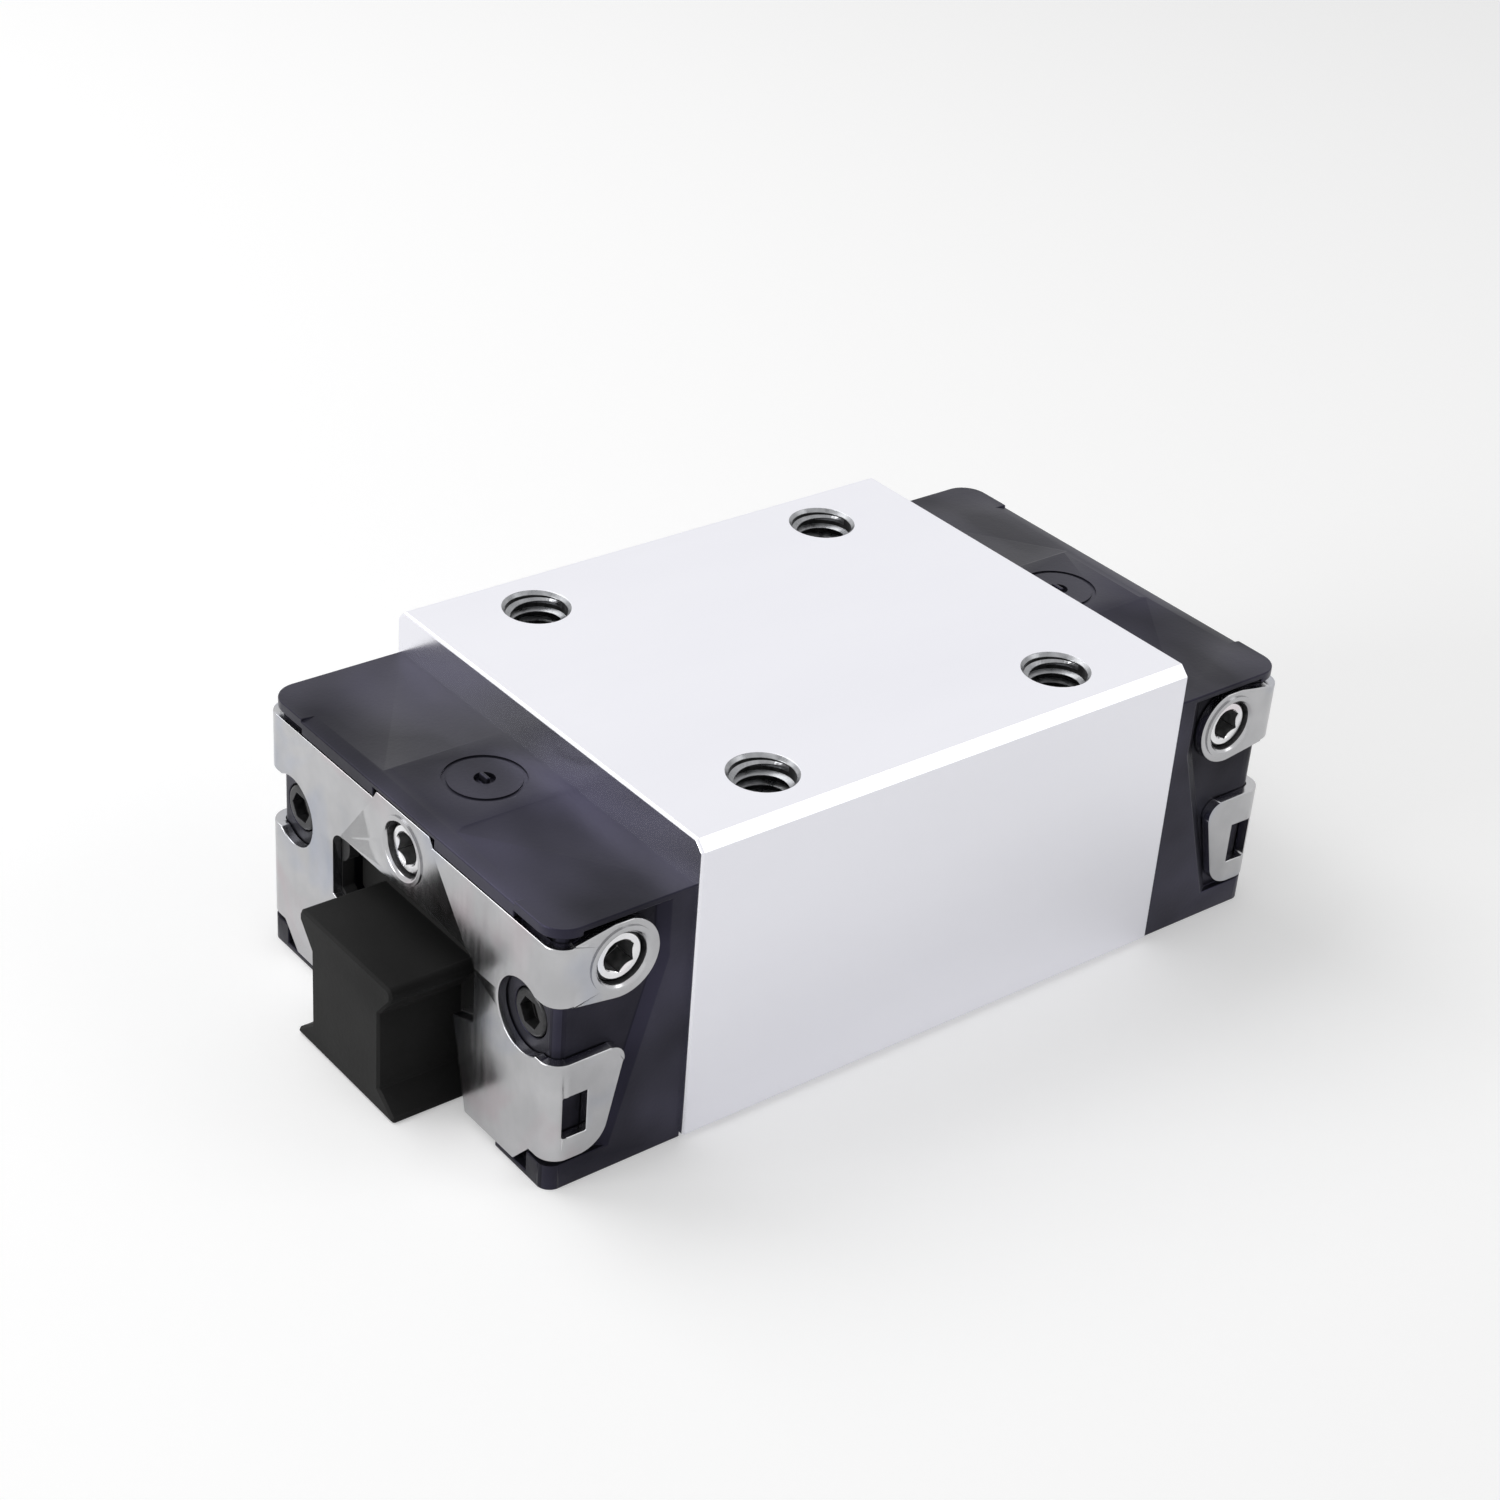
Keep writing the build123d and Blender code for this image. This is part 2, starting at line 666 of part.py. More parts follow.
# End plate: folded sheet with a rail opening, screw windows and two ears a side
with BuildPart() as end_plate:
    with BuildSketch(Plane.XY.offset(plate_bottom)) as fold_plan:
        with Locations(((wing_start + plate_x) / 2, 0)):
            Rectangle(plate_x - wing_start, 2 * wing_half)
        fillet(fold_plan.vertices().group_by(Axis.X)[-1], radius=bend_r)
        with BuildSketch(mode=Mode.SUBTRACT) as fold_inside:
            with Locations(((wing_start + plate_back_x) / 2 - past, 0)):
                Rectangle(plate_back_x - wing_start + 2 * past, 2 * wing_back)
            fillet(fold_inside.vertices().group_by(Axis.X)[-1], radius=bend_r - sheet)
    extrude(amount=tab_top - plate_bottom)
    # What the front face loses: the shoulders beside the tab, the opening, the
    # screw windows and the notches at the lower corners
    with BuildSketch(Plane.YZ.offset(bend_x)):
        for side in (1, -1):
            Polygon(
                (side * (tab_width / 2 + tab_slope), plate_top),
                (side * tab_width / 2, tab_top + fit),
                (side * body_half, tab_top + fit),
                (side * body_half, plate_top),
                align=None,
            )
            Polygon(
                (side * notch_start, plate_bottom),
                (side * (notch_start + notch_rise), lower_ear_bottom),
                (side * body_half, lower_ear_bottom),
                (side * body_half, plate_bottom),
                align=None,
            )
            with Locations((side * screw_y, screw_height)):
                Circle(screw_window_r)
            with Locations((side * (screw_y + body_half) / 2, (window_top + window_bottom) / 2)):
                Rectangle(body_half - screw_y, window_top - window_bottom)
    extrude(amount=bend_r + past, mode=Mode.SUBTRACT)
    with BuildSketch(Plane.YZ.offset(bend_x)) as opening:
        rail_outline(opening_gap)
        fillet(opening.vertices().group_by(Axis.Y)[-1], radius=opening_corner_r)
    extrude(amount=bend_r + past, mode=Mode.SUBTRACT)
    # What the wings keep: a round upper ear and a tapered lower ear
    with BuildSketch(Plane.XZ) as wing_waste:
        with Locations(((wing_start - past + bend_x) / 2, (plate_bottom + tab_top) / 2)):
            Rectangle(bend_x - wing_start + past, tab_top - plate_bottom + 2 * past)
        with BuildSketch(mode=Mode.SUBTRACT) as upper_ear:
            with Locations((port_side_x, port_height)):
                Circle(ear_r)
            with Locations((bend_x + past / 2, (plate_top + window_top) / 2)):
                Rectangle(past, plate_top - window_top)
            make_hull()
        with BuildSketch(mode=Mode.SUBTRACT) as lower_ear:
            Polygon(
                (bend_x + past, window_bottom),
                (lower_ear_reach, window_bottom),
                (lower_ear_toe_x, lower_ear_bottom),
                (bend_x + past, lower_ear_bottom),
                align=None,
            )
            fillet(lower_ear.vertices().sort_by(Axis.X)[0], radius=lower_ear_corner_r)
            toe = lower_ear.vertices().group_by(Axis.Y)[0].sort_by(Axis.X)[0]
            fillet(toe, radius=lower_ear_toe_r)
    extrude(amount=body_half, both=True, mode=Mode.SUBTRACT)
    with BuildSketch(Plane.XZ):
        with Locations(((slot_start_x + slot_end_x) / 2, (slot_bottom + slot_top) / 2)):
            Rectangle(slot_end_x - slot_start_x, slot_top - slot_bottom)
    extrude(amount=body_half, both=True, mode=Mode.SUBTRACT)
    # Threaded collars, drawn from the sheet
    collar_planes = [
        Plane(origin=(plate_x, 0, port_height), z_dir=(1, 0, 0)),
        Plane(origin=(port_side_x, wing_half, port_height), z_dir=(0, 1, 0)),
        Plane(origin=(port_side_x, -wing_half, port_height), z_dir=(0, -1, 0)),
    ]
    for collar_plane in collar_planes:
        with BuildSketch(collar_plane.offset(collar_rise)):
            Circle(collar_r)
        extrude(amount=-collar_rise - collar_depth)
        with BuildSketch(collar_plane.offset(collar_rise)):
            Circle(port_r + fit)
        extrude(amount=-collar_rise - collar_depth - past, mode=Mode.SUBTRACT)
        with BuildSketch(collar_plane.offset(collar_rise)):
            Circle(port_r + fit + collar_mouth)
        extrude(amount=-collar_mouth, taper=lean_angle, mode=Mode.SUBTRACT)
write(end_plate, "end_plate_rear")
write(mirrored(end_plate, Plane.YZ), "end_plate_front")


# Lubrication port screws: hexagon socket set screws that close the ports
def set_screw(face_plane):
    with BuildPart() as screw:
        with BuildSketch(face_plane.offset(-port_screw_sink)):
            Circle(port_r)
        extrude(amount=-port_screw_length)
        chamfer(screw.edges().filter_by(GeomType.CIRCLE), length=collar_mouth)
        with BuildSketch(face_plane.offset(-port_screw_sink)):
            RegularPolygon(port_socket_af / 2, 6, major_radius=False)
        extrude(amount=-port_socket_depth, mode=Mode.SUBTRACT)
        with BuildSketch(face_plane.offset(-port_screw_sink)):
            Circle(port_socket_af / 2 + port_socket_mouth)
        extrude(amount=-port_socket_mouth, taper=lean_angle, mode=Mode.SUBTRACT)
    return screw


port_screw_centre = set_screw(collar_planes[0])
port_screw_left = set_screw(collar_planes[1])
port_screw_right = set_screw(collar_planes[2])
write(port_screw_centre, "port_screw_rear_centre")
write(port_screw_left, "port_screw_rear_left")
write(port_screw_right, "port_screw_rear_right")
write(mirrored(port_screw_centre, Plane.YZ), "port_screw_front_centre")
write(mirrored(port_screw_left, Plane.YZ), "port_screw_front_left")
write(mirrored(port_screw_right, Plane.YZ), "port_screw_front_right")


# Cap screws
with BuildPart() as cap_screw:
    head_x = plate_x - screw_head_sink
    with BuildSketch(Plane.YZ.offset(head_x)):
        with Locations((screw_y, screw_height)):
            Circle(screw_head_r)
    extrude(amount=-screw_head_height)
    fillet(cap_screw.edges().group_by(Axis.X)[-1], radius=screw_head_edge_r)
    with BuildSketch(Plane.YZ.offset(head_x - screw_head_height)):
        with Locations((screw_y, screw_height)):
            Circle(screw_r)
    extrude(amount=end_x - screw_grip - head_x + screw_head_height)
    with BuildSketch(Plane.YZ.offset(head_x)):
        with Locations((screw_y, screw_height)):
            RegularPolygon(screw_socket_af / 2, 6, major_radius=False)
    extrude(amount=-screw_socket_depth, mode=Mode.SUBTRACT)
write(cap_screw, "cap_screw_rear_left")
write(mirrored(cap_screw, Plane.XZ), "cap_screw_rear_right")
write(mirrored(cap_screw, Plane.YZ), "cap_screw_front_left")
write(mirrored(cap_screw, Plane.YZ, Plane.XZ), "cap_screw_front_right")


# Transport arbor: a plastic bar with the rail's section and a smaller nose at each end
with BuildPart() as transport_arbor:
    with BuildSketch(Plane.YZ.offset(-arbor_core_length / 2)):
        rail_outline(-arbor_side_gap)
        row_grooves(channel_r)
    extrude(amount=arbor_core_length)
    with BuildSketch(Plane.YZ.offset(-arbor_length / 2)) as nose_section:
        both_sides(
            [
                (nose_foot_width / 2, 0),
                (nose_foot_width / 2, nose_foot_height),
                (nose_waist_width / 2, nose_waist_bottom),
                (nose_waist_width / 2, nose_waist_top),
                (nose_head_width / 2, nose_head_bottom),
                (nose_head_width / 2, nose_top),
            ]
        )
        fillet(nose_section.vertices().group_by(Axis.Y)[-1], radius=nose_corner_r)
    extrude(amount=arbor_length)
    nose_ends = transport_arbor.faces().filter_by(Axis.X).sort_by(Axis.X)
    chamfer(nose_ends[0].edges() + nose_ends[-1].edges(), length=nose_end_chamfer)
write(transport_arbor, "transport_arbor")
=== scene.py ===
import json
import math

import bmesh
import bpy
from mathutils import Matrix, Vector


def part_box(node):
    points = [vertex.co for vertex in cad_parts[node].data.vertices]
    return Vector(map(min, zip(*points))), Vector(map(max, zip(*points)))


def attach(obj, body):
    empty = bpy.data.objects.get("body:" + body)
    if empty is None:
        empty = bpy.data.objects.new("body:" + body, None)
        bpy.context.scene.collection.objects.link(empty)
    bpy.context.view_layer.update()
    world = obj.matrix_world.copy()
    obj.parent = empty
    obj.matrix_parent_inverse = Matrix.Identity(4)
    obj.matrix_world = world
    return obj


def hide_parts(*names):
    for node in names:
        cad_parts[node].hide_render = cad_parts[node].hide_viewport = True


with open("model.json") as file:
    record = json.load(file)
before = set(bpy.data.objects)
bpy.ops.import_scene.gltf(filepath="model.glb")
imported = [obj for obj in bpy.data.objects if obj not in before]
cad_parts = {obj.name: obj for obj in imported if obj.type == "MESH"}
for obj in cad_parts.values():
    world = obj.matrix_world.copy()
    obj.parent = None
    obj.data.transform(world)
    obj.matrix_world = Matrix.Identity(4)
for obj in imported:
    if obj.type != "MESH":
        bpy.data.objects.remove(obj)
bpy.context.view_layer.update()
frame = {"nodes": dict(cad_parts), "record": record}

MM = 0.001
UP = Vector((0, 0, 1))
WHITE = (1.0, 1.0, 1.0)

# The photograph's camera: it looks at the block's front right corner from above
CAMERA_PLACE = Vector((-158.3, -182.4, 164.3)) * MM
CAMERA_AZIMUTH = math.radians(-40.157)
CAMERA_ELEVATION = math.radians(31.076)
CAMERA_ROLL = math.radians(4.53)
CAMERA_LENS_MM = 69.98
CAMERA_SENSOR_MM = 36.0
CAMERA_NEAR = 10 * MM


def axes_of_view(azimuth, elevation, roll):
    """Right, up and back directions of a camera at that angle, in the part's frame."""
    back = Vector(
        (
            math.sin(azimuth) * math.cos(elevation),
            -math.cos(azimuth) * math.cos(elevation),
            math.sin(elevation),
        )
    )
    level = UP.cross(back).normalized()
    upright = back.cross(level)
    right = level * math.cos(roll) + upright * math.sin(roll)
    up = upright * math.cos(roll) - level * math.sin(roll)
    return right, up, back


def make_camera():
    right, up, back = axes_of_view(CAMERA_AZIMUTH, CAMERA_ELEVATION, CAMERA_ROLL)
    data = bpy.data.cameras.new("camera")
    data.lens = CAMERA_LENS_MM
    data.sensor_fit = "HORIZONTAL"
    data.sensor_width = CAMERA_SENSOR_MM
    data.clip_start = CAMERA_NEAR
    camera = bpy.data.objects.new("camera", data)
    bpy.context.scene.collection.objects.link(camera)
    turn = Matrix((right, up, back)).transposed().to_4x4()
    camera.matrix_world = Matrix.Translation(CAMERA_PLACE) @ turn
    bpy.context.scene.camera = camera


# Node materials

NOISE_BAND = (0.3, 0.7)  # most of a noise's values lie between these
NOISE_ROUGHNESS = 0.55


class Nodes:
    """Short names for the nodes of one material, floor or world."""

    def __init__(self, tree):
        self.tree = tree
        tree.nodes.clear()

    def add(self, kind, **settings):
        node = self.tree.nodes.new(kind)
        for name, value in settings.items():
            setattr(node, name, value)
        return node

    def link(self, output, target):
        self.tree.links.new(output, target)

    def noise(self, scale, stretch=(1, 1, 1), detail=4.0, distortion=0.0):
        """Noise with scale waves in a metre, stretched so many times along each axis."""
        place = self.add("ShaderNodeTexCoord")
        mapping = self.add("ShaderNodeMapping")
        mapping.inputs["Scale"].default_value = [1 / s for s in stretch]
        self.link(place.outputs["Object"], mapping.inputs["Vector"])
        node = self.add("ShaderNodeTexNoise")
        node.inputs["Scale"].default_value = scale
        node.inputs["Detail"].default_value = detail
        node.inputs["Roughness"].default_value = NOISE_ROUGHNESS
        node.inputs["Distortion"].default_value = distortion
        self.link(mapping.outputs["Vector"], node.inputs["Vector"])
        return node.outputs["Fac"]

    def ramp(self, value, stops):
        """Colour ramp whose stops are pairs of a place and a colour."""
        node = self.add("ShaderNodeValToRGB")
        band = node.color_ramp
        while len(band.elements) < len(stops):
            band.elements.new(0.5)
        for element, (place, colour) in zip(band.elements, stops):
            element.position = place
            element.color = (*colour, 1.0)
        self.link(value, node.inputs["Fac"])
        return node.outputs["Color"]

    def tones(self, value, low, high):
        """Colours from low to high as a noise goes through its band."""
        return self.ramp(value, list(zip(NOISE_BAND, (low, high))))

    def spread(self, value, source, target):
        """A number in the source range, carried over to the target range."""
        node = self.add("ShaderNodeMapRange")
        node.inputs["From Min"].default_value, node.inputs["From Max"].default_value = source
        node.inputs["To Min"].default_value, node.inputs["To Max"].default_value = target
        self.link(value, node.inputs["Value"])
        return node.outputs["Result"]

    def bump(self, height, strength, depth, below=None):
        node = self.add("ShaderNodeBump")
        node.inputs["Strength"].default_value = strength
        node.inputs["Distance"].default_value = depth
        self.link(height, node.inputs["Height"])
        if below is not None:
            self.link(below, node.inputs["Normal"])
        return node.outputs["Normal"]

    def product(self, first, second):
        """Two colours multiplied."""
        node = self.add("ShaderNodeMix", data_type="RGBA", blend_type="MULTIPLY")
        node.inputs["Factor"].default_value = 1.0
        self.link(first, node.inputs["A"])
        self.link(second, node.inputs["B"])
        return node.outputs["Result"]

    def combined(self, first, second, operation="ADD"):
        """Two numbers added, or put together by another operation."""
        node = self.add("ShaderNodeMath", operation=operation)
        self.link(first, node.inputs[0])
        if isinstance(second, (int, float)):
            node.inputs[1].default_value = second
        else:
            self.link(second, node.inputs[1])
        return node.outputs["Value"]

    def seen_directly(self):
        """Above 0 for rays from the camera, off a gloss or through glass, else 0."""
        path = self.add("ShaderNodeLightPath")
        seen = self.combined(path.outputs["Is Camera Ray"], path.outputs["Is Glossy Ray"])
        return self.combined(seen, path.outputs["Is Transmission Ray"])


def new_material(name):
    material = bpy.data.materials.new(name)
    material.use_nodes = True
    nodes = Nodes(material.node_tree)
    shader = nodes.add("ShaderNodeBsdfPrincipled")
    output = nodes.add("ShaderNodeOutputMaterial")
    nodes.link(shader.outputs["BSDF"], output.inputs["Surface"])
    return material, nodes, shader


def shader_values(shader, **values):
    for name, value in values.items():
        shader.inputs[name.replace("_", " ")].default_value = value


def ground_steel():
    """Finely ground steel: satin on the long faces, smoother on the end faces."""
    material, nodes, shader = new_material("ground_steel")
    shader_values(shader, Metallic=1.0)
    tone = nodes.noise(scale=35.0, stretch=(4, 1, 1))
    colour = nodes.tones(tone, low=(0.81, 0.81, 0.86), high=(0.85, 0.85, 0.895))
    nodes.link(colour, shader.inputs["Base Color"])
    place = nodes.add("ShaderNodeTexCoord")
    parts = nodes.add("ShaderNodeSeparateXYZ")
    nodes.link(place.outputs["Normal"], parts.inputs["Vector"])
    facing_end = nodes.combined(parts.outputs["X"], parts.outputs["X"], "MULTIPLY")
    grain = nodes.noise(scale=2600.0, stretch=(14, 1, 1), detail=2.0)
    rough = nodes.spread(facing_end, source=(0.4, 0.9), target=(0.3, 0.22))
    rough_grain = nodes.spread(grain, NOISE_BAND, target=(-0.015, 0.015))
    nodes.link(nodes.combined(rough, rough_grain), shader.inputs["Roughness"])
    nodes.link(nodes.bump(grain, strength=0.02, depth=0.02 * MM), shader.inputs["Normal"])
    return material


def thread_steel_painted_shade():
    """The tapped threads: darker steel, painted shade for the inside of the holes; the mouths'
    bevels get it too.
    """
    material, nodes, shader = new_material("thread_steel_painted_shade")
    shader_values(shader, Metallic=1.0)
    tone = nodes.noise(scale=900.0)
    colour = nodes.tones(tone, low=(0.22, 0.225, 0.235), high=(0.38, 0.385, 0.4))
    nodes.link(colour, shader.inputs["Base Color"])
    nodes.link(nodes.spread(tone, NOISE_BAND, target=(0.22, 0.4)), shader.inputs["Roughness"])
    pits = nodes.noise(scale=3000.0)
    nodes.link(nodes.bump(pits, strength=0.15, depth=0.03 * MM), shader.inputs["Normal"])
    return material


def plated_steel(name, low, high, rough, wave=0.12):
    """Bright plated sheet or screw, with a faint pink and blue cast and soft waves."""
    material, nodes, shader = new_material(name)
    shader_values(shader, Metallic=1.0)
    tone = nodes.tones(nodes.noise(scale=260.0, detail=3.0), low, high)
    cast = nodes.ramp(
        nodes.noise(scale=95.0, detail=2.0, distortion=0.6),
        stops=[(0.3, (0.86, 0.9, 1.0)), (0.45, WHITE), (0.58, WHITE), (0.72, (1.0, 0.9, 0.92))],
    )
    nodes.link(nodes.product(tone, cast), shader.inputs["Base Color"])
    rolled = nodes.noise(scale=1400.0, stretch=(1, 1, 9), detail=3.0)
    nodes.link(nodes.spread(rolled, NOISE_BAND, target=rough), shader.inputs["Roughness"])
    waves = nodes.bump(nodes.noise(scale=150.0, detail=1.0), strength=wave, depth=0.6 * MM)
    lines = nodes.bump(rolled, strength=0.015, depth=0.03 * MM, below=waves)
    nodes.link(lines, shader.inputs["Normal"])
    return material


def moulded(name, low, high, rough, gloss, tint=WHITE, grain_depth=0.04 * MM, grain_scale=2600.0):
    """Moulded plastic with a fine spark-eroded grain; slow flow marks change its gloss."""
    material, nodes, shader = new_material(name)
    shader_values(shader, Specular_Tint=(*tint, 1.0))
    flow = nodes.noise(scale=70.0, stretch=(1, 1.6, 1), detail=2.0)
    shine = nodes.spread(flow, source=(0.35, 0.65), target=gloss)
    nodes.link(shine, shader.inputs["Specular IOR Level"])
    nodes.link(nodes.tones(flow, low, high), shader.inputs["Base Color"])
    roughness = nodes.spread(flow, NOISE_BAND, target=(rough - 0.05, rough + 0.07))
    nodes.link(roughness, shader.inputs["Roughness"])
    grain = nodes.noise(grain_scale, detail=3.0)
    soft = nodes.bump(nodes.noise(scale=120.0, detail=2.0), strength=0.12, depth=0.4 * MM)
    eroded = nodes.bump(grain, strength=0.25, depth=grain_depth, below=soft)
    nodes.link(eroded, shader.inputs["Normal"])
    return material


def dark_metal(name, low, high):
    """Blackened steel with a fine uneven tone, for the black screws; also dark steel as painted
    shade inside sockets, bores and holes.
    """
    material, nodes, shader = new_material(name)
    shader_values(shader, Metallic=0.7)
    tone = nodes.noise(scale=1500.0)
    nodes.link(nodes.tones(tone, low, high), shader.inputs["Base Color"])
    nodes.link(nodes.spread(tone, NOISE_BAND, target=(0.3, 0.45)), shader.inputs["Roughness"])
    nodes.link(nodes.bump(tone, strength=0.1, depth=0.03 * MM), shader.inputs["Normal"])
    return material


def polished_steel(name, low, high, rough):
    """Ground and polished steel, its fine lines along the travel."""
    material, nodes, shader = new_material(name)
    shader_values(shader, Metallic=1.0)
    tone = nodes.noise(scale=1200.0, stretch=(8, 1, 1))
    nodes.link(nodes.tones(tone, low, high), shader.inputs["Base Color"])
    nodes.link(nodes.spread(tone, NOISE_BAND, target=rough), shader.inputs["Roughness"])
    nodes.link(nodes.bump(tone, strength=0.04, depth=0.02 * MM), shader.inputs["Normal"])
    return material


CAP_SHEEN = (0.62, 0.57, 1.0)  # violet, as the photograph shows it

SLOT_MATERIALS = {
    "ground_steel": ground_steel(),
    "raceway_steel": polished_steel(
        "raceway_steel", low=(0.5, 0.5, 0.52), high=(0.64, 0.64, 0.66), rough=(0.2, 0.28)
    ),
    "ball_steel": polished_steel(
        "ball_steel", low=(0.76, 0.76, 0.78), high=(0.84, 0.84, 0.86), rough=(0.04, 0.12)
    ),
    "cap_plastic": moulded(
        "cap_plastic",
        low=(0.011, 0.011, 0.014),
        high=(0.016, 0.016, 0.021),
        rough=0.34,
        gloss=(0.16, 0.62),
        tint=CAP_SHEEN,
    ),
    "inner_plastic": moulded(
        "inner_plastic",
        low=(0.07, 0.07, 0.076),
        high=(0.1, 0.1, 0.108),
        rough=0.45,
        gloss=(0.4, 0.6),
    ),
    "plate_steel": plated_steel(
        "plate_steel", low=(0.43, 0.43, 0.44), high=(0.5, 0.5, 0.51), rough=(0.17, 0.24)
    ),
    "screw_steel": plated_steel(
        "screw_steel",
        low=(0.72, 0.72, 0.73),
        high=(0.84, 0.84, 0.85),
        rough=(0.12, 0.22),
        wave=0.02,
    ),
    "black_screw": dark_metal(
        "black_screw", low=(0.022, 0.022, 0.023), high=(0.05, 0.05, 0.052)
    ),
    "seal_rubber": moulded(
        "seal_rubber",
        low=(0.018, 0.018, 0.019),
        high=(0.03, 0.03, 0.031),
        rough=0.62,
        gloss=(0.3, 0.5),
    ),
    "arbor_plastic": moulded(
        "arbor_plastic",
        low=(0.015, 0.015, 0.015),
        high=(0.021, 0.021, 0.021),
        rough=0.6,
        gloss=(0.04, 0.1),
        tint=(1.0, 1.0, 0.98),
        grain_depth=0.07 * MM,
        grain_scale=1900.0,
    ),
}
# Painted shade: a darker copy of the cap plastic for the recesses that the end plates lie in
RECESS_PLASTIC_PAINTED_SHADE = moulded(
    "recess_plastic_painted_shade",
    low=(0.005, 0.005, 0.006),
    high=(0.009, 0.009, 0.011),
    rough=0.3,
    gloss=(0.08, 0.4),
    tint=CAP_SHEEN,
)
# Painted shade: the threads and the hole mouths' bevels darker than the body's steel
THREAD_STEEL_PAINTED_SHADE = thread_steel_painted_shade()
# Painted shade: dark steel standing in for the shade on socket walls and floors and in bores and
# holes
SOCKET_WALL_PAINTED_SHADE = dark_metal("socket_wall_painted_shade", low=(0.16, 0.16, 0.165), high=(0.3, 0.3, 0.305))
HOLE_WALL_PAINTED_SHADE = dark_metal("hole_wall_painted_shade", low=(0.03, 0.03, 0.031), high=(0.07, 0.07, 0.072))
SOCKET_FLOOR_PAINTED_SHADE = dark_metal(
    "socket_floor_painted_shade", low=(0.006, 0.006, 0.006), high=(0.014, 0.014, 0.014)
)


def body_of_node(node):
    for body, names in frame["record"]["behaviour"]["bodies"].items():
        if node in names:
            return body
    raise KeyError(node)


def slot_of_node(node):
    for row in frame["record"]["subparts"]:
        if row["node"] == node:
            return row["material_slot"]
    raise KeyError(node)


def give(obj, material):
    obj.data.materials.clear()
    obj.data.materials.append(material)


def link_mesh(name, mesh):
    obj = bpy.data.objects.new(name, mesh)
    bpy.context.scene.collection.objects.link(obj)
    return obj


def bake_modifiers(obj):
    """Turn an object's modifiers into its mesh."""
    graph = bpy.context.evaluated_depsgraph_get()
    mesh = bpy.data.meshes.new_from_object(obj.evaluated_get(graph))
    old = obj.data
    obj.modifiers.clear()
    obj.data = mesh
    bpy.data.meshes.remove(old)


# Softened copies of the pieces that show

BODY_EDGE = 0.08 * MM
CAP_EDGE = 0.12 * MM
PLATE_EDGE = 0.12 * MM
ARBOR_EDGE = 0.2 * MM
SCREW_EDGE = 0.06 * MM
EDGE_SEGMENTS = 2
WELD = 0.0005 * MM
FLAT_ANGLE = math.radians(0.4)
EDGE_ANGLE = math.radians(28.0)
ROOM = 2.2  # a rounded edge needs this many widths of length, and of face on each side
BLOCK_END_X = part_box("block_body")[1][0]
MISREAD_AREA = 1.0 * MM**2


def reach(face, edge):
    """How far a face goes from one of its edges, square to it."""
    start, end = (vert.co for vert in edge.verts)
    along = (end - start).normalized()
    offsets = [vert.co - start for vert in face.verts]
    return max((offset - along * offset.dot(along)).length for offset in offsets)


def has_room(edge, width):
    return edge.calc_length() > ROOM * width and all(
        reach(face, edge) > ROOM * width for face in edge.link_faces
    )


def meets_block(edge):
    """Whether an edge lies against one of the block's end faces."""
    return all(abs(abs(vert.co.x) - BLOCK_END_X) < WELD for vert in edge.verts)


def misread(mesh):
    """Whether a face with a hole or notch has triangles outside its own outline."""
    mesh.calc_loop_triangles()
    covered = [0.0] * len(mesh.polygons)
    for triangle in mesh.loop_triangles:
        covered[triangle.polygon_index] += triangle.area
    return any(
        area - face.area > MISREAD_AREA for area, face in zip(covered, mesh.polygons)
    )


def rounded_copy(node, width, stays_sharp, split):
    """A copy of a CAD node with its edges rounded, and its concave faces split if asked."""
    mesh = frame["nodes"][node].data.copy()
    work = bmesh.new()
    work.from_mesh(mesh)
    bmesh.ops.remove_doubles(work, verts=work.verts, dist=WELD)
    bmesh.ops.dissolve_limit(
        work, angle_limit=FLAT_ANGLE, verts=work.verts, edges=work.edges
    )
    weights = work.edges.layers.float.new("bevel_weight_edge")
    for edge in work.edges:
        if len(edge.link_faces) == 2 and edge.calc_face_angle() > EDGE_ANGLE:
            edge.smooth = False
            edge[weights] = 1.0 if has_room(edge, width) and not stays_sharp(edge) else 0.0
    if split:
        bmesh.ops.connect_verts_concave(work, faces=work.faces)
    for face in work.faces:
        face.smooth = True
    work.to_mesh(mesh)
    work.free()
    piece = link_mesh(f"{node}_finish", mesh)
    rounding = piece.modifiers.new("rounding", "BEVEL")
    rounding.width = width
    rounding.segments = EDGE_SEGMENTS
    rounding.limit_method = "WEIGHT"
    rounding.harden_normals = True
    rounding.use_clamp_overlap = False
    bake_modifiers(piece)
    return piece


def softened(node, width, stays_sharp=lambda edge: False):
    """A copy of a CAD node, which it replaces, with the sharp edges that have room rounded."""
    piece = rounded_copy(node, width, stays_sharp, split=False)
    if misread(piece.data):
        bpy.data.objects.remove(piece)
        piece = rounded_copy(node, width, stays_sharp, split=True)
    slot = slot_of_node(node)
    give(piece, SLOT_MATERIALS[slot])
    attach(piece, body_of_node(node))
    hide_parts(node)
    return piece


def paint(piece, material, chosen):
    """Give a second material to the faces for which chosen(centre, normal) holds."""
    index = len(piece.data.materials)
    piece.data.materials.append(material)
    for face in piece.data.polygons:
        if chosen(face.center, face.normal):
            face.material_index = index


# Second materials, given to faces by their place and direction: painted shade in sockets, bores,
# hole mouths and cap recesses

PORT_SOCKET_R = 1.6 * MM
CAP_SOCKET_R = 1.4 * MM
